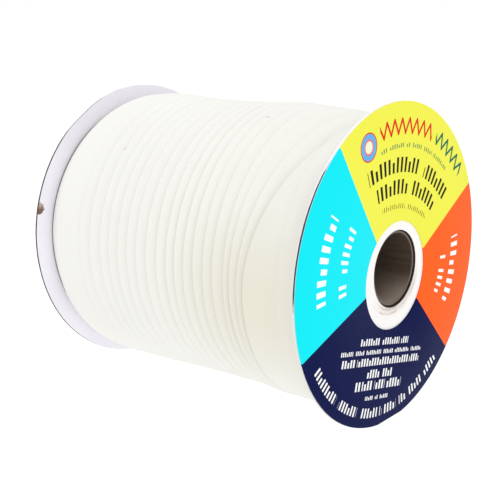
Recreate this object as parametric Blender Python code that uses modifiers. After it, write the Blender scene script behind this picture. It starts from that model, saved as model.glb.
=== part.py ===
"""A roll of folded bias tape wound on a card spool.

The spool lies on its side. +X runs along it towards the disc with the label, +Z is up, and the
origin is on the floor under the middle of the spool. Each disc has a small flat spot to rest on.
"""

import math

import bmesh
import bpy
import numpy as np

# Card spool, in metres
SPOOL_LENGTH = 0.1397
DISC_RADIUS = 0.0635
DISC_THICKNESS = 0.001
REST_WIDTH = 0.020
HOLE_RADIUS = 0.0156
TUBE_WALL = 0.0012
TUBE_RECESS = 0.0004
SMALL_GAP = 0.0003

# Paper label, with its hole a little off the spool's axis
LABEL_RADIUS = 0.0633
LABEL_THICKNESS = 0.0004
LABEL_LIFT = 0.0002
LABEL_HOLE_RADIUS = 0.0213
LABEL_HOLE_ASIDE = 0.0005
LABEL_HOLE_DROP = 0.0027

# Points round each turned edge
DISC_STEPS = 96
HOLE_STEPS = 48
WINDING_STEPS = 60

# Wound tape: each turn laps the one before, so its left edge stands up as a ridge
RIDGE_HEIGHT = 0.0008
RIDGE_WIDTH = 0.0009
FIRST_TURN = -0.65
TURNS = 20
LAY = (
    # turn, place of its left edge at the front of the roll
    (-1, -0.0565),
    (0, -0.0509),
    (3, -0.0327),
    (7, -0.0129),
    (10, 0.0034),
    (12, 0.0127),
    (16, 0.0327),
    (20, 0.0441),
)

# The last turns lean towards the label over the top of the roll
LEAN_FROM_TURN = 14.5
LAST_TURN = 19
LEAN_AT_LAST_TURN = 0.027
LEAN_STARTS = math.radians(-5)
LEAN_SPREAD = math.radians(250)
LEAN_LIMIT = 0.0645
LEAN_SOFTNESS = 0.004

# The roll's outline: soft shoulders at both discs, and slacker underneath
OUTLINE = (
    # place along the spool, radius at the top, radius underneath
    (-0.0686, 0.0545, 0.0545),
    (-0.0672, 0.0572, 0.0572),
    (-0.0635, 0.0600, 0.0596),
    (-0.0580, 0.0612, 0.0602),
    (-0.0455, 0.0614, 0.0600),
    (-0.0240, 0.0603, 0.0592),
    (0.0000, 0.0601, 0.0580),
    (0.0220, 0.0608, 0.0579),
    (0.0340, 0.0598, 0.0588),
    (0.0410, 0.0594, 0.0588),
    (0.0510, 0.0582, 0.0577),
    (0.0600, 0.0576, 0.0574),
    (0.0664, 0.0562, 0.0562),
    (0.0679, 0.0545, 0.0545),
)
SHOULDER_ROWS = 4
BAND_SHARE = 0.25
LABEL_SIDE_SHOULDER = 0.0664

AXIS_HEIGHT = math.sqrt(DISC_RADIUS**2 - (REST_WIDTH / 2) ** 2)
FAR_FACE = -SPOOL_LENGTH / 2
LABEL_FACE = SPOOL_LENGTH / 2
NEAR_FACE = LABEL_FACE - LABEL_THICKNESS - SMALL_GAP
TUBE_RADIUS = HOLE_RADIUS - SMALL_GAP
ROLL_START = FAR_FACE + DISC_THICKNESS + SMALL_GAP
ROLL_END = NEAR_FACE - DISC_THICKNESS - SMALL_GAP


def clear_scene():
    for obj in list(bpy.data.objects):
        bpy.data.objects.remove(obj, do_unlink=True)


def principled(name, color, roughness):
    material = bpy.data.materials.new(name)
    material.use_nodes = True
    shader = material.node_tree.nodes["Principled BSDF"]
    shader.inputs["Base Color"].default_value = (*color, 1.0)
    shader.inputs["Roughness"].default_value = roughness
    shader.inputs["Metallic"].default_value = 0.0
    return material


def add_object(name, data, material, collection, axis):
    """Puts an object in the collection and hangs it on the spool's axis."""
    obj = bpy.data.objects.new(name, data)
    data.materials.append(material)
    collection.objects.link(obj)
    obj.parent = axis
    return obj


def smooth(mesh):
    mesh.shade_smooth()
    mesh.set_sharp_from_angle(angle=math.radians(40))


def resting_round(radius, depth):
    """A circle about the spool's axis, cut off flat at this depth below the axis."""
    half_flat = math.acos(depth / radius)
    sweep = 2 * (math.pi - half_flat)
    start = half_flat - math.pi / 2
    angles = [start + sweep * step / DISC_STEPS for step in range(DISC_STEPS + 1)]
    return [(radius * math.cos(angle), radius * math.sin(angle)) for angle in angles]


def round_hole(radius, aside=0.0, drop=0.0):
    angles = [2 * math.pi * step / HOLE_STEPS for step in range(HOLE_STEPS)]
    return [(aside + radius * math.cos(angle), radius * math.sin(angle) - drop) for angle in angles]


def flat_ring(name, outlines, thickness):
    """A flat piece with a hole, as a filled 2D curve with half its thickness to each side."""
    curve = bpy.data.curves.new(name, "CURVE")
    curve.dimensions = "2D"
    curve.fill_mode = "BOTH"
    curve.extrude = thickness / 2
    for outline in outlines:
        spline = curve.splines.new("POLY")
        spline.points.add(len(outline) - 1)
        for point, (aside, height) in zip(spline.points, outline):
            point.co = (aside, height, 0.0, 1.0)
        spline.use_cyclic_u = True
        spline.use_smooth = True
    return curve


def stand_across(obj, place):
    """Turns a flat piece so that it stands across the spool, with its middle at this place."""
    obj.rotation_euler = (math.radians(90), 0.0, math.radians(90))
    obj.location = (place, 0.0, 0.0)


def make_disc(name, place, material, collection, axis):
    outlines = [resting_round(DISC_RADIUS, AXIS_HEIGHT), round_hole(HOLE_RADIUS)]
    disc = add_object(name, flat_ring(name, outlines, DISC_THICKNESS), material, collection, axis)
    stand_across(disc, place)


def make_label(material, collection, axis):
    outlines = [
        resting_round(LABEL_RADIUS, AXIS_HEIGHT - LABEL_LIFT),
        round_hole(LABEL_HOLE_RADIUS, LABEL_HOLE_ASIDE, LABEL_HOLE_DROP),
    ]
    label = add_object("label", flat_ring("label", outlines, LABEL_THICKNESS), material, collection, axis)
    stand_across(label, LABEL_FACE - LABEL_THICKNESS / 2)


def make_tube(material, collection, axis):
    """The tube's wall, turned about its own upright axis and then laid along the spool."""
    top = NEAR_FACE - TUBE_RECESS
    bottom = FAR_FACE + TUBE_RECESS
    outer = TUBE_RADIUS
    inner = TUBE_RADIUS - TUBE_WALL
    profile = [(outer, top), (outer, bottom), (inner, bottom), (inner, top)]
    mesh = bpy.data.meshes.new("core_tube")
    corners = [(radius, 0.0, height) for radius, height in profile]
    mesh.from_pydata(corners, [(0, 1), (1, 2), (2, 3), (3, 0)], [])
    tube = add_object("core_tube", mesh, material, collection, axis)
    tube.rotation_euler = (0.0, math.radians(90), 0.0)
    turned = tube.modifiers.new("turned wall", "SCREW")
    turned.axis = "Z"
    turned.steps = HOLE_STEPS
    turned.render_steps = HOLE_STEPS
    turned.use_merge_vertices = True
    turned.merge_threshold = 0.00001
    turned.use_smooth_shade = True


def lean(turn):
    """How far this point of the winding leans towards the label."""
    angle_above_front = -2 * math.pi * turn
    over_the_top = (angle_above_front - LEAN_STARTS) % (2 * math.pi) / LEAN_SPREAD
    if turn < LEAN_FROM_TURN or over_the_top > 1:
        return 0.0
    growth = (turn - LEAN_FROM_TURN) / (LAST_TURN - LEAN_FROM_TURN)
    return LEAN_AT_LAST_TURN * growth**2 * math.sin(math.pi * over_the_top) ** 2


def left_edge(turn):
    """Where the tape's left edge lies along the spool, for a whole or part number of turns."""
    turns, places = zip(*LAY)
    place = float(np.interp(turn, turns, places)) + lean(turn)
    past = place - (LEAN_LIMIT - LEAN_SOFTNESS)
    if past > 0:
        place = LEAN_LIMIT - LEAN_SOFTNESS * math.exp(-past / LEAN_SOFTNESS)
    return place


def roll_radius(place, turn):
    """The roll's radius over its ridges. A whole turn is at the front, and a quarter more is underneath."""
    places, tops, undersides = zip(*OUTLINE)
    top = np.interp(place, places, tops)
    underside = np.interp(place, places, undersides)
    height = -math.sin(2 * math.pi * turn)
    return float(top * (1 + height) + underside * (1 - height)) / 2


def add_point(bm, place, radius, turn):
    angle = 2 * math.pi * turn
    return bm.verts.new((place, -radius * math.cos(angle), -radius * math.sin(angle)))


def add_round(bm, place, radius=None, first=None):
    """A closed row of points round the spool, on the roll's outline where no radius is given."""
    row = [first] if first else []
    for step in range(len(row), WINDING_STEPS):
        turn = FIRST_TURN + step / WINDING_STEPS
        row.append(add_point(bm, place, radius or roll_radius(place, turn), turn))
    return row + row[:1]


def skin(bm, left, right):
    """Faces between two rows of points. Where the rows share a point the face is a triangle."""
    for corners in zip(left, left[1:], right[1:], right):
        bm.faces.new(list(dict.fromkeys(corners)))


def make_roll(material, collection, axis):
    """The winding is a spiral strip: a valley, a ridge, and a slope down to the next turn's valley."""
    bm = bmesh.new()
    valleys = []
    ridges = []
    for step in range(TURNS * WINDING_STEPS + 1):
        turn = FIRST_TURN + step / WINDING_STEPS
        valley = left_edge(turn)
        ridge = valley + RIDGE_WIDTH
        valleys.append(add_point(bm, valley, roll_radius(valley, turn) - RIDGE_HEIGHT, turn))
        ridges.append(add_point(bm, ridge, roll_radius(ridge, turn), turn))
    last_turn = (TURNS - 1) * WINDING_STEPS
    skin(bm, valleys, ridges)
    skin(bm, ridges[: last_turn + 1], valleys[WINDING_STEPS:])

    # The first turn starts at a plain row of points, as a small step
    start = add_round(bm, left_edge(FIRST_TURN), first=valleys[0])
    skin(bm, start, valleys[: WINDING_STEPS + 1])
    bm.faces.new((valleys[0], ridges[0], valleys[WINDING_STEPS]))

    # The last turn's band runs to the label's disc, one thickness higher than what it covers
    band = [valleys[-1]]
    for step in range(1, WINDING_STEPS + 1):
        turn = FIRST_TURN + TURNS - 1 + step / WINDING_STEPS
        ridge = left_edge(turn) + RIDGE_WIDTH
        place = ridge + (LABEL_SIDE_SHOULDER - ridge) * BAND_SHARE
        covered = RIDGE_HEIGHT * (1 - step / WINDING_STEPS)
        band.append(add_point(bm, place, roll_radius(place, turn) - covered, turn))
    shoulder = add_round(bm, LABEL_SIDE_SHOULDER)
    skin(bm, ridges[last_turn:], band)
    skin(bm, band, shoulder)
    bm.faces.new((valleys[-1], ridges[-1], band[-1]))
    bm.faces.new((valleys[-1], band[-1], shoulder[0]))

    # Plain rounds close the roll over its shoulders, down both ends and along its hollow
    rounds = [shoulder, add_round(bm, ROLL_END), add_round(bm, ROLL_END, HOLE_RADIUS)]
    rounds += [add_round(bm, ROLL_START, HOLE_RADIUS), add_round(bm, ROLL_START)]
    rounds += [add_round(bm, place) for place, _, _ in OUTLINE[1:SHOULDER_ROWS]]
    rounds.append(start)
    for left, right in zip(rounds, rounds[1:]):
        skin(bm, left, right)

    bmesh.ops.recalc_face_normals(bm, faces=bm.faces)
    mesh = bpy.data.meshes.new("tape_roll")
    bm.to_mesh(mesh)
    bm.free()
    smooth(mesh)
    add_object("tape_roll", mesh, material, collection, axis)


def make_spool_of_tape():
    clear_scene()
    collection = bpy.data.collections.new("roll_of_bias_tape")
    bpy.context.scene.collection.children.link(collection)
    axis = bpy.data.objects.new("spool_axis", None)
    axis.location = (0.0, 0.0, AXIS_HEIGHT)
    collection.objects.link(axis)

    white_card = principled("white faced card", (0.86, 0.84, 0.90), 0.55)
    kraft_card = principled("grey brown card", (0.16, 0.12, 0.09), 0.85)
    printed_paper = principled("printed paper", (0.02, 0.86, 0.94), 0.4)
    ivory_tape = principled("ivory folded tape", (0.90, 0.89, 0.83), 0.75)

    make_tube(kraft_card, collection, axis)
    make_disc("flange_far", FAR_FACE + DISC_THICKNESS / 2, white_card, collection, axis)
    make_disc("flange_near", NEAR_FACE - DISC_THICKNESS / 2, white_card, collection, axis)
    make_label(printed_paper, collection, axis)
    make_roll(ivory_tape, collection, axis)


make_spool_of_tape()
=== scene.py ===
"""A spool of folded bias tape: card tube and discs, a printed label, and the wound tape."""
import math

import bmesh
import bpy
import numpy as np
from mathutils import Matrix, Vector


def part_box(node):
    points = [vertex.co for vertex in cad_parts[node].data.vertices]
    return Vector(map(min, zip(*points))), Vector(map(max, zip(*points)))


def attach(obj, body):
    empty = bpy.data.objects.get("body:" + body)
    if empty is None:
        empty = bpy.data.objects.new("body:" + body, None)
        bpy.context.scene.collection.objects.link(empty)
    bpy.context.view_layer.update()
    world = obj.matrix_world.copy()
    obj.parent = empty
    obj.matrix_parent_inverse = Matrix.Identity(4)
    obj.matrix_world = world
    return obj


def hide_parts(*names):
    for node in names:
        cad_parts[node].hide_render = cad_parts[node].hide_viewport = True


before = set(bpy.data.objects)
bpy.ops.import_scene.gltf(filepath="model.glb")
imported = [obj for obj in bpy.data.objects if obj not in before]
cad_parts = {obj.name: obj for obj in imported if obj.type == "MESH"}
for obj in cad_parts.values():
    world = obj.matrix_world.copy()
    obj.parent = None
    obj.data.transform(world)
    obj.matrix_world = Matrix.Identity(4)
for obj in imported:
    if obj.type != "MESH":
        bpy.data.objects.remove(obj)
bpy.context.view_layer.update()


# Core tube
# A tube of grey-brown card, rolled from paper strips and cut square at both ends. The discs are
# glued round it, and it sits a little loose in their holes, so a dark line shows beside its rim.

tube_low, tube_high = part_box("core_tube")
AXIS_HEIGHT = (tube_low.z + tube_high.z) / 2
TUBE_OUTSIDE = 0.0147
TUBE_INSIDE = 0.0139
TUBE_ASIDE = (0.0008, -0.0008)
TUBE_SIDES = 144
STRIP_WRAPS = 18.0
SEAM_SHARE = 0.012


class Wire:
    """A value in a material. Sums of wires add Math nodes, and node() adds any other node."""

    def __init__(self, tree, socket=None):
        self.tree = tree
        self.socket = socket

    def node(self, kind, settings, inputs, output=0):
        made = self.tree.nodes.new("ShaderNode" + kind)
        for name, setting in settings.items():
            setattr(made, name, setting)
        for name, value in inputs.items():
            if isinstance(value, Wire):
                self.tree.links.new(value.socket, made.inputs[name])
            else:
                made.inputs[name].default_value = value
        return Wire(self.tree, made.outputs[output])

    def math(self, operation, *values):
        return self.node("Math", {"operation": operation}, dict(enumerate(values)))

    def __add__(self, other):
        return self.math("ADD", self, other)

    __radd__ = __add__

    def __sub__(self, other):
        return self.math("SUBTRACT", self, other)

    def __rsub__(self, other):
        return self.math("SUBTRACT", other, self)

    def __mul__(self, other):
        return self.math("MULTIPLY", self, other)

    __rmul__ = __mul__

    def __truediv__(self, other):
        return self.math("DIVIDE", self, other)

    def __mod__(self, other):
        return self.math("FLOORED_MODULO", self, other)

    def __pow__(self, other):
        return self.math("POWER", self, other)

    def __gt__(self, other):
        return self.math("GREATER_THAN", self, other)

    def __lt__(self, other):
        return self.math("LESS_THAN", self, other)

    def __abs__(self):
        return self.math("ABSOLUTE", self)

    def __or__(self, other):
        return self.math("MAXIMUM", self, other)

    def between(self, low, high):
        return (self > low) * (self < high)

    def ramp(self, low, high):
        """0 below low, 1 above high, and a soft change between them. High may be the lower one."""
        settings = {"interpolation_type": "SMOOTHSTEP"}
        values = {"Value": self, "From Min": low, "From Max": high}
        return self.node("MapRange", settings, values)

    def mix(self, under, over):
        """The colour under where this wire is 0, and over where it is 1."""
        factor, color_a, color_b, mixed = 0, 6, 7, 2
        sockets = {factor: self, color_a: under, color_b: over}
        return self.node("Mix", {"data_type": "RGBA"}, sockets, mixed)


class Finish:
    """A material, its shader, and the place on the piece as wires measured from the spool's axis."""

    def __init__(self, name, roughness):
        self.material = bpy.data.materials.new(name)
        self.material.use_nodes = True
        tree = self.material.node_tree
        self.shader = tree.nodes["Principled BSDF"]
        self.shader.inputs["Roughness"].default_value = roughness
        self.wire = Wire(tree)
        place = self.wire.node("TexCoord", {}, {}, "Object")
        to_axis = {0: place, 1: (0.0, 0.0, AXIS_HEIGHT)}
        self.place = self.wire.node("VectorMath", {"operation": "SUBTRACT"}, to_axis)
        self.along, self.across, self.up = (
            self.wire.node("SeparateXYZ", {}, {0: self.place}, index) for index in range(3)
        )

    def noise(self, scale, detail=3.0, stretch=(1.0, 1.0, 1.0)):
        both = {0: self.place, 1: stretch}
        place = self.wire.node("VectorMath", {"operation": "MULTIPLY"}, both)
        return self.wire.node("TexNoise", {}, {"Vector": place, "Scale": scale, "Detail": detail})

    def from_axis(self, aside=0.0, height=0.0):
        """Distance from the spool's axis, or from a line beside it."""
        return ((self.across - aside) ** 2 + (self.up - height) ** 2) ** 0.5

    def show(self, **sockets):
        for name, wire in sockets.items():
            name = name.replace("_", " ").title()
            self.wire.tree.links.new(wire.socket, self.shader.inputs[name])

    def bump(self, height, distance, strength=1.0):
        heights = {"Height": height, "Distance": distance, "Strength": strength}
        self.show(normal=self.wire.node("Bump", {}, heights))


def add_piece(name, node, bm, finish, sharp_from):
    """Makes the bmesh a piece that stands for a CAD node."""
    bmesh.ops.remove_doubles(bm, verts=bm.verts, dist=1e-6)
    bmesh.ops.recalc_face_normals(bm, faces=bm.faces)
    mesh = bpy.data.meshes.new(node)
    bm.to_mesh(mesh)
    bm.free()
    mesh.materials.append(finish.material)
    mesh.shade_smooth()
    mesh.set_sharp_from_angle(angle=math.radians(sharp_from))
    piece = bpy.data.objects.new(name, mesh)
    bpy.context.scene.collection.objects.link(piece)
    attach(piece, "root")
    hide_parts(node)


bm = bmesh.new()
tube_length = tube_high.x - tube_low.x
bmesh.ops.create_cone(
    bm, segments=TUBE_SIDES, radius1=TUBE_OUTSIDE, radius2=TUBE_OUTSIDE, depth=tube_length
)
bmesh.ops.solidify(bm, geom=bm.faces, thickness=TUBE_OUTSIDE - TUBE_INSIDE)
rims = [edge for edge in bm.edges if abs(edge.verts[0].co.z - edge.verts[1].co.z) < 1e-6]
bmesh.ops.bevel(
    bm, geom=rims, offset=0.00018, segments=2, profile=0.5, material=-1, affect="EDGES"
)
for vert in bm.verts:
    angle = math.atan2(vert.co.y, vert.co.x)
    uneven_cut = 0.00006 * math.sin(5 * angle + 1.0) + 0.00005 * math.sin(11 * angle)
    vert.co.z -= math.copysign(abs(uneven_cut), vert.co.z)
bmesh.ops.rotate(bm, verts=bm.verts, matrix=Matrix.Rotation(math.radians(90), 3, "Y"))
tube_middle = Vector(((tube_low.x + tube_high.x) / 2, TUBE_ASIDE[0], AXIS_HEIGHT + TUBE_ASIDE[1]))
bmesh.ops.translate(bm, verts=bm.verts, vec=tube_middle)

tube_card = Finish("grey brown rolled card", 0.8)
tube_card.shader.inputs["Specular IOR Level"].default_value = 0.1
streaks = tube_card.noise(900, 4.0, (0.06, 1.0, 1.0))
blotches = tube_card.noise(160)
rolled_angle = tube_card.wire.math("ARCTAN2", tube_card.up, tube_card.across)
seam = (tube_card.along * STRIP_WRAPS + rolled_angle / (2 * math.pi)) % 1.0
seam = seam.between(0.0, SEAM_SHARE)
tube_color = (streaks * 0.7 + blotches * 0.3).ramp(0.3, 0.7).mix(
    (0.066, 0.045, 0.031, 1.0), (0.090, 0.065, 0.047, 1.0)
)
tube_color = (seam * 0.15).mix(tube_color, (0.03, 0.022, 0.016, 1.0))
# Painted light: the lower wall is painted paler near both ends, where light reaches into the tube
painted_lower_wall_light = abs(tube_card.along).ramp(0.045, 0.071) * tube_card.up.ramp(-0.0040, -0.0155)
tube_color = painted_lower_wall_light.mix(tube_color, (0.33, 0.265, 0.22, 1.0))
end_faces = abs(tube_card.along) > tube_high.x - 0.0003
tube_color = end_faces.mix(tube_color, (0.17, 0.137, 0.115, 1.0))
tube_card.show(base_color=tube_color)
tube_card.bump(streaks * 0.5 + blotches - seam, 0.00012)
add_piece("card_core_tube", "core_tube", bm, tube_card, 50)


# Discs
# Two round discs of grey-brown board, one millimetre thick, faced on both sides with white paper
# and glued to the tube's ends. The cut rim is raw board where the paper is worn off, and a flat
# spot keeps the spool from rolling.

DISC_RADIUS = 0.0635
DISC_HOLE = 0.01525
DISC_HOLE_ASIDE = (0.0012, -0.0011)
RING_SIDES = 288
RIM_BAND = 0.0007
FACE_DEPTH = 0.0001
SKIN_DEPTH = 0.00004
STAND_ACROSS = Matrix(((0, 0, 1), (1, 0, 0), (0, 1, 0)))


def cut_ring(radius, hole, hole_place, back, front, worn):
    """A flat ring between two places along the spool, with a softened rim and a flat to rest on."""
    bm = bmesh.new()
    rim = bmesh.ops.create_circle(bm, segments=RING_SIDES, radius=radius)["verts"]
    inner = bmesh.ops.create_circle(bm, segments=RING_SIDES, radius=hole)["verts"]
    bmesh.ops.translate(bm, verts=inner, vec=(*hole_place, 0.0))
    for vert in rim:
        vert.co *= 1.0 - worn(math.degrees(math.atan2(vert.co.y, vert.co.x))) / radius
    bmesh.ops.bridge_loops(bm, edges=bm.edges)
    ring = bm.verts[:] + bm.edges[:] + bm.faces[:]
    floor_line = (0.0, -AXIS_HEIGHT, 0.0)
    bmesh.ops.bisect_plane(
        bm, geom=ring, plane_co=floor_line, plane_no=(0.0, -1.0, 0.0), clear_outer=True
    )
    made = bmesh.ops.extrude_face_region(bm, geom=bm.faces[:])["geom"]
    raised = [part for part in made if isinstance(part, bmesh.types.BMVert)]
    bmesh.ops.translate(bm, verts=raised, vec=(0.0, 0.0, front - back))
    steep = math.radians(60)
    corners = [edge for edge in bm.edges if edge.is_manifold and edge.calc_face_angle() > steep]
    soft = min(0.00016, (front - back) * 0.3)
    bmesh.ops.bevel(
        bm, geom=corners, offset=soft, segments=2, profile=0.5, material=-1, affect="EDGES"
    )
    bmesh.ops.rotate(bm, verts=bm.verts, matrix=STAND_ACROSS)
    bmesh.ops.translate(bm, verts=bm.verts, vec=(back, 0.0, AXIS_HEIGHT))
    return bm


def worn_rim(degrees):
    """How far the disc's rim is worn back at this angle, counted from +Y up over the top."""
    waves = math.sin(math.radians(7 * degrees)) * math.sin(math.radians(3 * degrees + 40))
    return 0.00006 + 0.00005 * waves


def bent_rim(degrees):
    """The far disc's rim is also knocked a little flat at one place near its top."""
    return worn_rim(degrees) + 0.0005 * math.exp(-(((degrees - 124) / 7) ** 2))


for side, worn in (("far", bent_rim), ("near", worn_rim)):
    node = "flange_" + side
    low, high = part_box(node)
    bm = cut_ring(DISC_RADIUS, DISC_HOLE, DISC_HOLE_ASIDE, low.x, high.x, worn)

    board = Finish("white faced board " + side, 0.6)
    board.shader.inputs["Specular IOR Level"].default_value = 0.3
    from_middle = board.from_axis()
    from_hole = board.from_axis(*DISC_HOLE_ASIDE)
    grain = board.noise(1400, 2.0)
    paper = board.noise(45).ramp(0.35, 0.65)
    paper = paper.mix((0.865, 0.842, 0.915, 1.0), (0.90, 0.877, 0.945, 1.0))
    layers = board.noise(2500, 2.0, (3.0, 0.35, 0.35))
    raw = layers.ramp(0.3, 0.7).mix((0.026, 0.021, 0.019, 1.0), (0.085, 0.068, 0.058, 1.0))
    frayed = board.noise(300) * 0.00035
    wear = board.up + board.noise(150) * 0.012
    if side == "far":
        # The bare rim fades out towards the top
        bare = wear.ramp(0.054, 0.047) * 0.45 + wear.ramp(0.070, 0.062) * 0.55
        # The paper has come off the rim at one spot, and there is a smudge near the top
        chip = (board.across + 0.0615) ** 2 / 0.0030**2 + (board.up - 0.0146) ** 2 / 0.0027**2
        chip = (chip + board.noise(1200) * 1.2).ramp(1.65, 1.35)
        torn = (board.up + board.noise(900) * 0.003).ramp(0.0178, 0.0150)
        torn = torn.mix((0.50, 0.40, 0.33, 1.0), (0.17, 0.10, 0.07, 1.0))
        paper = chip.mix(paper, torn)
        smudge = board.from_axis(-0.0096, 0.0562).ramp(0.0011, 0.0002) * 0.6
        paper = smudge.mix(paper, (0.25, 0.23, 0.27, 1.0))
        paper = board.up.ramp(0.015, 0.058).mix(paper, (0.79, 0.775, 0.83, 1.0))
        # Its outer face is rubbed a little grey, with a faint ring where the tube is glued in
        outer_face = board.noise(70, 5.0, (1.0, 1.0, 0.4)).ramp(0.35, 0.7)
        outer_face = outer_face.mix((0.815, 0.80, 0.825, 1.0), (0.77, 0.75, 0.77, 1.0))
        glued = from_middle.between(0.0172, 0.0186) * board.noise(180).ramp(0.4, 0.6)
        outer_face = (glued * 0.5).mix(outer_face, (0.66, 0.61, 0.58, 1.0))
        paper = (board.along < low.x + FACE_DEPTH).mix(paper, outer_face)
        # Painted shade: the paper is painted dark in the gap beside the tape, which is wound a
        # little thicker underneath
        underneath = (board.up / from_middle) ** 2 * (board.up < 0)
        painted_gap_shade = (board.along > high.x - FACE_DEPTH) * (from_middle < underneath * 0.001 + 0.0553)
        paper = painted_gap_shade.mix(paper, (0.36, 0.34, 0.34, 1.0))
        relief = grain * 0.15 - chip
    else:
        # The bare rim narrows and ends towards the top, and paper still covers the lower half
        frayed = frayed + 0.00012 + board.up.ramp(0.030, 0.046) * 0.00023
        bare = wear.ramp(0.054, 0.047) * wear.ramp(0.0, 0.008)
        # Round the tube the paper is a little creamier and creased in faint rings where the tube
        # comes through. The creases are painted darker, as painted shade in them, and the paper is
        # darker and browner just below the hole
        paper = (from_middle.ramp(0.03, 0.024) * 0.9).mix(paper, (0.90, 0.885, 0.865, 1.0))
        below = (board.across * 0.3 - board.up).ramp(0.005, 0.017)
        darkened_below_hole = from_hole.ramp(DISC_HOLE + 0.0045, DISC_HOLE) * below
        paper = (darkened_below_hole * 0.7).mix(paper, (0.62, 0.54, 0.48, 1.0))
        # The crease rings are bumped, and also painted darker as painted shade
        creases_and_shade = (from_middle + board.noise(90) * 0.0016) * 1500
        creases_and_shade = creases_and_shade.math("SINE", creases_and_shade * 2.2).ramp(0.1, 0.9)
        near_hole = from_middle.ramp(0.0212, 0.0180)
        creases_and_shade = creases_and_shade * below * near_hole * board.noise(220).ramp(0.32, 0.6)
        paper = creases_and_shade.mix(paper, (0.58, 0.48, 0.42, 1.0))
        # Painted shade: its lower rim is painted a little less white
        painted_lower_rim_shade = (from_middle > DISC_RADIUS - 0.0003) * board.up.ramp(0.008, -0.002)
        paper = painted_lower_rim_shade.mix(paper, (0.74, 0.735, 0.70, 1.0))
        relief = grain * 0.15 - creases_and_shade
    at_rim = (from_middle > DISC_RADIUS - RIM_BAND) | (board.up < 0.0002 - AXIS_HEIGHT)
    bare_rim = at_rim * bare * board.along.between(low.x + frayed, high.x - SKIN_DEPTH)
    bare_hole = from_hole < DISC_HOLE + 0.0001
    bare_hole = bare_hole * board.along.between(low.x + SKIN_DEPTH, high.x - SKIN_DEPTH)
    raw = bare_hole.mix(raw, (0.050, 0.034, 0.025, 1.0))
    board.show(base_color=(bare_rim | bare_hole).mix(paper, raw))
    board.bump(relief, 0.00008)
    add_piece("card_" + node, node, bm, board, 35)


# Label
# A ring of coated paper printed in four plain colours and glued to the near disc, with its hole a
# little low. Rows of strokes and zigzag stitches are printed on it in white, black, red and green.

LABEL_RADIUS = 0.0633
LABEL_HOLE = 0.0214
LABEL_TURN = math.radians(-12.8)
HOLE_ASIDE = 0.0018
HOLE_HEIGHT = -0.0033
YELLOW = (0.84, 0.832, 0.082, 1.0)
CYAN = (0.006, 0.785, 0.87, 1.0)
ORANGE = (0.97, 0.124, 0.017, 1.0)
NAVY = (0.004, 0.008, 0.064, 1.0)
WHITE = (0.93, 0.93, 0.93, 1.0)
BLACK = (0.018, 0.016, 0.012, 1.0)
RED = (0.72, 0.03, 0.015, 1.0)
GREEN = (0.012, 0.16, 0.10, 1.0)

turn_cos, turn_sin = math.cos(LABEL_TURN), math.sin(LABEL_TURN)
hole_place = (
    HOLE_ASIDE * turn_cos - HOLE_HEIGHT * turn_sin,
    HOLE_ASIDE * turn_sin + HOLE_HEIGHT * turn_cos,
)
disc_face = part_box("flange_near")[1].x
label_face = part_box("label")[1].x
bm = cut_ring(LABEL_RADIUS, LABEL_HOLE, hole_place, disc_face, label_face, lambda degrees: 0.0)

print_ink = Finish("printed label paper", 0.45)
print_ink.shader.inputs["Specular IOR Level"].default_value = 0.03
# The print is laid out in millimetres to the right of the disc's middle, and up from it
turning = {"Vector": print_ink.place, "Rotation": (LABEL_TURN, 0, 0)}
upright = print_ink.wire.node("Mapping", {"vector_type": "TEXTURE"}, turning)
right = print_ink.wire.node("SeparateXYZ", {}, {0: upright}, 1) * 1000.0
height = print_ink.wire.node("SeparateXYZ", {}, {0: upright}, 2) * 1000.0


def around(centre, facing):
    """How far out from a centre a point is, and how many degrees along the row round it."""
    over, rise = right - centre[0], height - centre[1]
    radius = (over**2 + rise**2) ** 0.5
    if facing == "up":
        angle = radius.math("ARCTAN2", over, rise)
    elif facing == "left":
        angle = radius.math("ARCTAN2", rise, 0.0 - over)
    elif facing == "right":
        angle = radius.math("ARCTAN2", 0.0 - rise, over)
    else:
        # The row at the bottom stands with its head towards the centre
        angle = radius.math("ARCTAN2", over, 0.0 - rise)
        radius = 0.0 - radius
    return radius, angle * (180 / math.pi)


def strokes(place, level, low, high, pitch, width):
    """Upright strokes, each fourth one shorter."""
    count = (place / pitch).math("FLOOR", place / pitch)
    top = high - (high - low) * 0.3 * ((count % 4) > 2.5)
    return ((place % pitch) < width) * (level > low) * (level < top)


def zigzag(place, level, low, high, pitch, width):
    """A zigzag stitch."""
    wave = place.math("PINGPONG", place, pitch / 2) * (2 / pitch)
    line = abs(level - low - wave * (high - low))
    slope = math.hypot(1.0, 2 * (high - low) / pitch)
    return (line < width * slope / 2) * level.between(low - width / 2, high + width / 2)


def groups(place, gaps, ends):
    """1 from the first end to the last, and 0 in the gaps between groups of strokes."""
    mask = place.between(*ends)
    for low, high in gaps:
        mask = mask * (1 - place.between(low, high))
    return mask


# Yellow above, dark blue below, and light blue and orange beside them
ink = (right > 1.5).mix(CYAN, ORANGE)
ink = ((height + 8.7) > abs(right - 2.0) * 0.952).mix(ink, YELLOW)
ink = ((0.7 - height) > abs(right - 1.3) * 0.66).mix(ink, NAVY)

# A ringed dot beside the first row
from_dot = ((right + 31.5) ** 2 + (height - 42.3) ** 2) ** 0.5
for radius, color in (
    (5.4, RED),
    (4.9, (0.13, 0.42, 0.80, 1.0)),
    (3.0, (0.80, 0.16, 0.20, 1.0)),
    (2.3, (0.85, 0.86, 0.60, 1.0)),
):
    ink = (from_dot < radius).mix(ink, color)

# A zigzag stitch along the upper rim
level, degrees = around((2.0, -8.0), "up")
stitch = zigzag(degrees * math.radians(62), level, 59.6, 65.0, 5.2, 1.05)
ink = (stitch * degrees.between(-26, 10)).mix(ink, RED)
ink = (stitch * degrees.between(13, 38)).mix(ink, GREEN)

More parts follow.
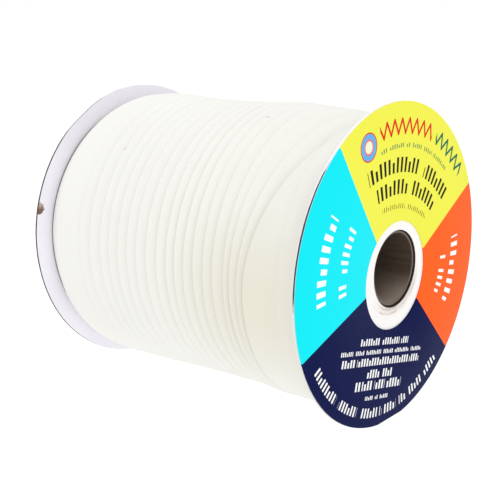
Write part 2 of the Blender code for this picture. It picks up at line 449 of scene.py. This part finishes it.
# Curved rows: centre, facing, color and its strength, radius, foot and head of a stroke, spacing,
# width of a stroke, ends, gaps
for centre, facing, color, strength, radius, low, high, pitch, width, ends, gaps in (
    ((2.0, -8.0), "up", GREEN, 0.8, 55, 54.3, 56.0, 1.5, 0.75, (-27, 28),
     ((-22, -20.5), (-10, -8.5), (-5, -3.5), (4, 5.5), (13, 14.5))),
    ((1.0, -12.9), "up", BLACK, 1.0, 52, 49.6, 55.4, 2.9, 1.45, (-34, 34), ((6.0, 10.5),)),
    ((1.0, -10.8), "up", BLACK, 1.0, 42, 39.3, 44.9, 2.9, 1.45, (-31, 31), ((-1.5, 4.0),)),
    ((1.0, -18.9), "up", BLACK, 0.75, 42.5, 41.7, 43.6, 1.45, 0.55, (-23, 22), ((-1.5, 0.8),)),
    ((0.0, 0.0), "left", WHITE, 1.0, 49, 46.3, 51.6, 4.0, 2.1, (-18, 19.5), ()),
    ((0.0, 0.0), "left", WHITE, 1.0, 36, 33.6, 38.2, 3.0, 1.35, (-21, 21), ((-11.0, -5.0),)),
    ((0.0, 0.0), "right", WHITE, 1.0, 47, 44.6, 49.8, 4.0, 1.9, (-18, 16.5), ()),
    ((0.0, 0.0), "right", WHITE, 1.0, 38, 35.8, 40.2, 2.9, 1.25, (-11, 15), ((-5.5, -2.0),)),
    ((0.0, 0.0), "down", WHITE, 1.0, 57, -59.4, -55.6, 2.1, 1.05, (-49.5, 50.5),
     ((-29.5, -26.5), (-12.5, -9.5), (3, 4.8), (6.5, 8.3), (17, 19.5), (24.5, 27), (37, 39.5))),
):
    level, degrees = around(centre, facing)
    row = strokes(degrees * math.radians(radius), level, low, high, pitch, width)
    ink = (row * groups(degrees, gaps, ends) * strength).mix(ink, color)

# Straight rows on the dark blue: height of the middle, half the length, height of a stroke,
# spacing, gaps
for middle, half, tall, pitch, gaps in (
    (-29.1, 18.0, 2.7, 1.75, ((-3.5, -1.8), (11.0, 12.6))),
    (-33.1, 30.0, 1.7, 1.25, ((-22, -20.5), (-14, -12.5), (-2, -0.5), (7, 8.5), (20, 21.5))),
    (-36.9, 29.0, 3.0, 1.9, ((-19.0, -18.2), (20.5, 21.4))),
    (-41.7, 9.5, 3.3, 1.9, ((-0.5, 1.1),)),
    (-46.2, 17.0, 3.6, 2.1, ((-13.5, -12.2), (-4.5, -3.2), (4.5, 5.8))),
    (-51.3, 8.5, 1.6, 1.25, ((-2.5, -1.2), (1.2, 2.3))),
):
    place = right - 1.0
    row = strokes(place, height, middle - tall / 2, middle + tall / 2, pitch, pitch * 0.56)
    ink = (row * groups(place, gaps, (-half, half))).mix(ink, WHITE)

speckle = print_ink.noise(700)
print_ink.show(base_color=ink, roughness=speckle.ramp(0.2, 0.8) * 0.12 + 0.40)
print_ink.bump(print_ink.noise(60) * 0.6 + speckle * 0.1, 0.00012, 0.5)
add_piece("card_label", "label", bm, print_ink, 35)


# Wound tape
# Ivory polyester cut on the bias, its edges folded in and folded again, then wound in a spiral.
# Each turn laps most of the one before, so only its left folded edge stands up. Friction and the
# discs hold it. Turns are counted at the front, from the first edge that shows there.

STEPS = 288
TURNS = 22
PLAIN_PITCH = 0.005
PLAIN_RADIUS = 0.06
FIRST_TURN = -1.75
FREE_TURN = -0.6
CUT_END = 19.35
END_SLANT = 0.03
TAPE_END = CUT_END + END_SLANT
FAR_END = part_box("flange_far")[1].x + 0.00005
LABEL_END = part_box("flange_near")[0].x - 0.00005
FOLD_HEIGHT = 0.00085
FOLD_WIDTH = 0.0015
HOLLOW = 0.0152
SWAY = 0.00028
SLACK = 0.0008
LEAN = 0.027
LEAN_FROM = 14.5
LEAN_TURNS = 4.5
CROWD_FROM = 0.0605
CROWD_REACH = 0.004
SHOULDER = 0.0675
LEFT_EDGES = (
    # turn, millimetres along the spool at the front of the roll
    (-0.60, -68.8), (-0.35, -54.0), (0, -50.6), (1, -44.2), (2, -38.5), (3, -32.5), (4, -27.7),
    (5, -22.9), (6, -17.7), (7, -12.5), (8, -7.0), (9, -1.6), (10, 3.7), (11, 8.4), (12, 13.0),
    (13, 17.9), (14, 22.8), (15, 27.8), (16, 32.9), (17, 35.8), (18, 39.0), (19, 41.5), (20, 43.3),
)
OUTLINE = (
    # millimetres along the spool, and the radius at the top, at the front and underneath
    (-68.8, 46.0, 46.0, 46.0), (-68.4, 48.5, 48.5, 49.5), (-68.0, 55.4, 55.4, 56.4),
    (-67.5, 55.8, 55.7, 56.9), (-66.5, 56.5, 56.3, 57.6), (-63.5, 58.2, 58.2, 58.9),
    (-60.0, 59.5, 59.8, 59.8), (-56.0, 60.1, 60.6, 60.2), (-50.0, 60.4, 60.9, 60.2),
    (-45.0, 60.4, 60.8, 60.1), (-38.0, 60.1, 60.5, 60.0), (-31.0, 59.6, 60.2, 59.6),
    (-24.0, 59.3, 59.7, 59.3), (-17.0, 59.3, 59.4, 58.7), (-10.0, 59.4, 59.2, 58.3),
    (0.0, 59.4, 59.0, 58.0), (9.0, 59.7, 59.1, 57.5), (16.0, 60.0, 59.2, 57.4),
    (22.0, 60.3, 59.2, 57.1), (28.0, 60.0, 59.2, 57.1), (34.0, 59.5, 59.2, 57.7),
    (39.5, 59.3, 59.1, 58.0), (45.0, 59.0, 58.6, 58.1), (51.0, 58.3, 58.0, 58.0),
    (56.0, 57.8, 57.6, 57.7), (60.0, 57.5, 57.4, 57.2), (63.0, 57.2, 57.1, 56.6),
    (65.5, 56.6, 56.5, 56.4), (67.0, 55.8, 55.7, 55.6), (67.7, 54.8, 54.7, 54.6),
    (68.0, 49.0, 49.0, 49.0), (68.3, 46.0, 46.0, 46.0),
)
CREASES = (
    # where it runs along the spool, how wide it is and how deep
    (-0.0620, 0.0009, 0.00016), (-0.0575, 0.0006, 0.00006),
    (0.0563, 0.0007, 0.00020), (0.0627, 0.0010, 0.00030),
)


def smooth(low, high, value):
    """0 below low, 1 above high, and a soft change between them."""
    share = np.clip((value - low) / (high - low), 0, 1)
    return share * share * (3 - 2 * share)


def sway(turn, seed, swings=6):
    """A slow uneven wave from -1 to 1 along the tape."""
    chance = np.random.default_rng(seed)
    rates, starts = chance.uniform(0.35, 2.6, swings), chance.uniform(0, 6.3, swings)
    waves = [np.sin(2 * math.pi * rate * turn + start) for rate, start in zip(rates, starts)]
    return sum(waves) / math.sqrt(2 * swings) * 0.9


def over_the_top(turn):
    """1 where the turn passes over the top of the roll, and 0 underneath."""
    share = (-2 * math.pi * turn + math.radians(9)) % (2 * math.pi) / math.radians(250)
    return np.where(share < 1, np.sin(math.pi * np.minimum(share, 1)) ** 2, 0)


def left_edge(turn):
    """Where the left edge lies along the spool, from the far disc to the slanted cut."""
    turns, places = (np.array(column) for column in zip(*LEFT_EDGES))
    place = np.interp(turn, turns, places / 1000)
    # The last turns lean over towards the label
    place = place + LEAN * np.clip((turn - LEAN_FROM) / LEAN_TURNS, 0, 1) ** 2 * over_the_top(turn)
    slack = np.clip((25 - place * 1000) / 60, 0, 1) * smooth(FREE_TURN, 0.4, turn)
    place = place + SLACK * slack * np.sin(2 * math.pi * turn)
    place = place + SWAY * sway(turn, 4) * smooth(-0.3, 0.6, turn)
    # They crowd together before they reach the disc
    past = np.maximum(place - CROWD_FROM, 0)
    crowded = CROWD_FROM + CROWD_REACH * (1 - np.exp(-past / CROWD_REACH))
    place = np.where(past > 0, crowded, place)
    place = place + (LABEL_END - place) * smooth(CUT_END, TAPE_END, turn)
    return np.where(turn < FREE_TURN, FAR_END, np.clip(place, FAR_END, LABEL_END))


def fold_height(turn):
    """How high the folded edge stands: less on the first turns, and on the last at the top."""
    height = 0.15 + 0.85 * smooth(-0.5, 2.5, turn)
    height = FOLD_HEIGHT * height * (1 + 0.22 * sway(turn, 9))
    height = height * (1 - 0.75 * smooth(11, 18, turn) * np.sqrt(over_the_top(turn)))
    return np.where((turn < FREE_TURN) | (turn > TAPE_END), 0.0, height)


def covered(turn):
    """The last turn climbs on what it covers, so that its cut end stands a thickness high."""
    last_turn = (1 - smooth(CUT_END - 1, CUT_END, turn)) * (turn > TAPE_END - 1)
    return FOLD_HEIGHT * 0.8 * last_turn


def outline(place, front, height):
    """The radius over the folds, from how far the point is towards the front and the top."""
    places, top, level, under = (np.array(column) / 1000 for column in zip(*OUTLINE))
    radius = np.interp(place, places, level) * front**2
    radius = radius + np.interp(place, places, top) * np.maximum(height, 0) ** 2
    return radius + np.interp(place, places, under) * np.minimum(height, 0) ** 2


# A short profile across one turn is spun along the spool as a plain spiral. Its first half becomes
# the folded edge, and its second half the flat of the tape.
fold_shares = (0.0, 0.05, 0.2, 0.42, 0.7)
flat_shares = (0.0, 0.3, 0.6, 0.85, 1.0)
shares = [0.5 * share for share in fold_shares] + [0.5 + 0.5 * share for share in flat_shares]
bm = bmesh.new()
start = 2 * math.pi * FIRST_TURN
start_across, start_up = -PLAIN_RADIUS * math.cos(start), -PLAIN_RADIUS * math.sin(start)
corners = [bm.verts.new((share * PLAIN_PITCH, start_across, start_up)) for share in shares]
profile = [bm.edges.new(pair) for pair in zip(corners, corners[1:])]
bmesh.ops.spin(
    bm, geom=corners + profile, cent=(0, 0, 0), axis=(1, 0, 0), dvec=(PLAIN_PITCH / STEPS, 0, 0),
    angle=2 * math.pi, steps=STEPS, use_merge=False,
)
one_turn = bm.verts[:] + bm.edges[:] + bm.faces[:]
for count in range(1, TURNS):
    copied = bmesh.ops.duplicate(bm, geom=one_turn)["geom"]
    copied = [part for part in copied if isinstance(part, bmesh.types.BMVert)]
    bmesh.ops.translate(bm, verts=copied, vec=(count * PLAIN_PITCH, 0, 0))
bmesh.ops.remove_doubles(bm, verts=bm.verts, dist=PLAIN_PITCH / 80)


def places_of(bm):
    return np.array([vert.co for vert in bm.verts])


def angle_of(spots):
    """The angle from the front of the roll, the way that the tape is wound."""
    return np.arctan2(-spots[:, 2], -spots[:, 1])


def fold_width(width):
    """How much the folded edge takes of the width that shows."""
    return np.minimum(FOLD_WIDTH, width * 0.35)


# The spiral is laid as the tape was wound
spots = places_of(bm)
part = np.round(angle_of(spots) / (2 * math.pi) * STEPS) % STEPS / STEPS
wound = spots[:, 0] / PLAIN_PITCH + FIRST_TURN
turn = part + np.floor(wound - part + 0.01)
share = np.clip(wound - turn, 0, 1)
edge = left_edge(turn)
width = left_edge(turn + 1) - edge
fold = fold_width(width)
laid = edge + np.where(share < 0.5, fold * share * 2, fold + (width - fold) * (share - 0.5) * 2)
for vert, place in zip(bm.verts, laid):
    vert.co.x = place
bmesh.ops.remove_doubles(bm, verts=bm.verts, dist=1e-5)
bmesh.ops.dissolve_degenerate(bm, edges=bm.edges, dist=2e-6)

# The two wide bands are cut finer, and on the shoulders beside the discs nearly every face is cut
for cuts in (
    (-0.0684, -0.0680, -SHOULDER, *np.arange(-0.0664, -0.0500, 0.0013)),
    (*np.arange(0.0460, SHOULDER, 0.0013), 0.0677, 0.0680),
):
    wide = set()
    for face in bm.faces:
        reach = [vert.co.x for vert in face.verts]
        narrowest = 0.0015 if max(map(abs, reach)) < SHOULDER else 0.0002
        if max(reach) - min(reach) > narrowest and max(reach) > cuts[0] and min(reach) < cuts[-1]:
            wide.update((face, *face.edges, *face.verts))
    for place in cuts:
        cut = bmesh.ops.bisect_plane(
            bm, geom=list(wide), plane_co=(place, 0, 0), plane_no=(1, 0, 0), dist=1e-5
        )
        wide = set(cut["geom"])

# Every point then gets its radius from the turn that it lies on
spots = places_of(bm)
along, angle = spots[:, 0], angle_of(spots)
part = angle / (2 * math.pi) % 1.0
part = np.where(part > 1 - 1e-5, 0.0, part)
turn = np.full(len(spots), FIRST_TURN - 1.0)
for count in range(math.floor(FIRST_TURN), math.ceil(FIRST_TURN) + TURNS + 1):
    later = part + count
    turn = np.where((left_edge(later) <= along + 2e-7) & (later < TAPE_END), later, turn)
edge = left_edge(turn)
width = np.maximum(left_edge(turn + 1) - edge, 1e-7)
fold = fold_width(width)
up_fold = np.sqrt(1 - (1 - np.clip((along - edge) / fold, 0, 1)) ** 2)
past_fold = np.clip((along - edge - fold) / (width - fold), 0, 1)
below_next = fold_height(turn + 1) + covered(turn + 1) - covered(turn)
depth = fold_height(turn) * (1 - up_fold) + covered(turn) + below_next * past_fold**1.5
for place, reach, deep in CREASES:
    wander = 0.0005 * np.sin(2 * angle + place * 900)
    depth = depth + deep * np.exp(-(((along - place - wander) / reach) ** 2))
billow = 0.00010 * np.sin(along * 210 + 3 * angle) * np.sin(2 * angle + along * 90)
billow = billow + 0.00006 * np.sin(along * 520 + 7 * angle)
radius = outline(along, np.cos(angle), -np.sin(angle)) + billow - depth
lap = bm.verts.layers.float.new("lap_depth")
for vert, reach, turned, deep in zip(bm.verts, radius, angle, depth / FOLD_HEIGHT):
    vert.co.y = -reach * math.cos(turned)
    vert.co.z = -reach * math.sin(turned) + AXIS_HEIGHT
    vert[lap] = float(deep)

# Both ends turn in to the tube
open_edges = [edge for edge in bm.edges if edge.is_boundary]
made = bmesh.ops.extrude_edge_only(bm, edges=open_edges)["geom"]
inner = [part for part in made if isinstance(part, bmesh.types.BMVert)]
for vert in inner:
    reach = math.hypot(vert.co.y, vert.co.z - AXIS_HEIGHT)
    vert.co.y = vert.co.y * HOLLOW / reach + TUBE_ASIDE[0]
    vert.co.z = AXIS_HEIGHT + (vert.co.z - AXIS_HEIGHT) * HOLLOW / reach + TUBE_ASIDE[1]
bmesh.ops.bridge_loops(bm, edges=[edge for edge in bm.edges if edge.is_boundary])

cloth = Finish("ivory folded tape", 0.8)
cloth.shader.inputs["Specular IOR Level"].default_value = 0.25
cloth.shader.inputs["Sheen Weight"].default_value = 0.12
cloth.shader.inputs["Sheen Roughness"].default_value = 0.5
# The threads cross aslant, because the cloth is cut on the bias
THREADS = 760
around_roll = cloth.wire.math("ARCTAN2", cloth.up, cloth.across) * (THREADS / (2 * math.pi))
along_roll = cloth.along * (THREADS / (2 * math.pi * PLAIN_RADIUS))
warp = (around_roll + along_roll) * math.pi
weft = (around_roll - along_roll) * math.pi
weave = warp.math("SINE", warp) * weft.math("SINE", weft)
lap_depth = cloth.wire.node("Attribute", {"attribute_name": "lap_depth"}, {}, "Fac")
puckers = cloth.noise(120, 3.0, (1.0, 0.5, 0.5))
cloth_color = cloth.noise(25).ramp(0.3, 0.7)
cloth_color = cloth_color.mix((0.825, 0.818, 0.780, 1.0), (0.845, 0.840, 0.806, 1.0))
# Painted shade: the front is painted a little darker than the top, and a darker cream towards the
# label
painted_front_shade = abs(cloth.up - 0.005).ramp(0.052, 0.030)
cloth_color = (painted_front_shade * 0.5).mix(cloth_color, (0.790, 0.784, 0.748, 1.0))
painted_shade_to_label = abs(cloth.up + 0.005).ramp(0.040, 0.002) * 0.85 + 0.15
painted_shade_to_label = cloth.along.ramp(-0.01, 0.05) * painted_shade_to_label
cloth_color = painted_shade_to_label.mix(cloth_color, (0.737, 0.72, 0.602, 1.0))
# The valleys beside the folds are in shade, most of all towards the label
shade = lap_depth.ramp(0.05, 0.95) * (cloth.along.ramp(-0.02, 0.035) * 0.68 + 0.22)
shade = shade * (abs(cloth.up - 0.009).ramp(0.045, 0.004) * 0.65 + 0.35)
cloth_color = shade.mix(cloth_color, (0.70, 0.684, 0.612, 1.0))
# Painted shade in the corner beside the near disc
painted_shade_by_disc = cloth.along.ramp(0.050, 0.065) * cloth.up.ramp(0.050, 0.030)
cloth_color = (painted_shade_by_disc * 0.6).mix(cloth_color, (0.745, 0.73, 0.67, 1.0))
# Painted shade: the tape's inner face by the tube is painted near black, to stay dark in the gap
# round the tube
cloth_color = (cloth.from_axis() < 0.0180).mix(cloth_color, (0.030, 0.022, 0.018, 1.0))
# Small grey flecks all over, and four larger ones
flecks = cloth.noise(420, 1.0).ramp(0.79, 0.82) * 0.4
for place, reach in (
    ((-0.0335, -0.0433, 0.0416), 0.0007),
    ((-0.0021, -0.0572, 0.0181), 0.0006),
    ((0.0233, -0.0212, 0.0561), 0.0006),
    ((-0.0106, -0.0543, -0.0255), 0.0006),
):
    both = {0: cloth.place, 1: place}
    distance = cloth.wire.node("VectorMath", {"operation": "DISTANCE"}, both, "Value")
    flecks = flecks | (distance.ramp(reach * 2.4, reach * 0.3) * 0.5)
cloth_color = flecks.mix(cloth_color, (0.52, 0.50, 0.46, 1.0))
cloth.show(base_color=cloth_color)
cloth.bump(weave * 0.12 + puckers, 0.00010)
add_piece("wound_tape_roll", "tape_roll", bm, cloth, 80)


# Floor and light
# A plain white sweep that glows softly, under white light from all round and from three lamps.
# The camera looks at the label and along the roll from the front, a little above the spool.

bm = bmesh.new()
bmesh.ops.create_grid(bm, x_segments=1, y_segments=1, size=6.0)
sweep = bpy.data.meshes.new("floor")
bm.to_mesh(sweep)
bm.free()
floor = bpy.data.objects.new("floor", sweep)
bpy.context.scene.collection.objects.link(floor)
white = bpy.data.materials.new("white sweep")
white.use_nodes = True
shader = white.node_tree.nodes["Principled BSDF"]
shader.inputs["Base Color"].default_value = (0.2, 0.2, 0.2, 1.0)
shader.inputs["Emission Color"].default_value = (1.0, 1.0, 1.0, 1.0)
shader.inputs["Emission Strength"].default_value = 0.9
shader.inputs["Roughness"].default_value = 1.0
shader.inputs["Specular IOR Level"].default_value = 0.0
sweep.materials.append(white)

world = bpy.data.worlds.new("soft room")
world.use_nodes = True
world.node_tree.nodes["Background"].inputs["Color"].default_value = (1.0, 1.0, 1.0, 1.0)
world.node_tree.nodes["Background"].inputs["Strength"].default_value = 1.0
bpy.context.scene.world = world

middle = Vector((0, 0, 0.07))
for name, size, energy, place in (
    ("window light", 0.5, 0.45, (-0.42, -0.36, 0.42)),
    ("light overhead", 0.6, 0.5, (-0.3, 0.05, 0.85)),
    ("side fill", 0.5, 0.3, (0.6, -0.2, 0.35)),
):
    lamp = bpy.data.lights.new(name, "AREA")
    lamp.size = size
    lamp.energy = energy
    light = bpy.data.objects.new(name, lamp)
    light.location = place
    light.rotation_euler = (light.location - middle).to_track_quat("Z", "Y").to_euler()
    bpy.context.scene.collection.objects.link(light)

camera_data = bpy.data.cameras.new("camera")
camera_data.lens = 66.04
camera_data.sensor_width = 36.0
camera = bpy.data.objects.new("camera", camera_data)
camera.location = (0.24595, -0.29746, 0.15396)
camera.rotation_euler = (math.radians(76.09), 0.0, math.radians(39.945))
bpy.context.scene.collection.objects.link(camera)
bpy.context.scene.camera = camera
bpy.context.scene.view_settings.view_transform = "Standard"
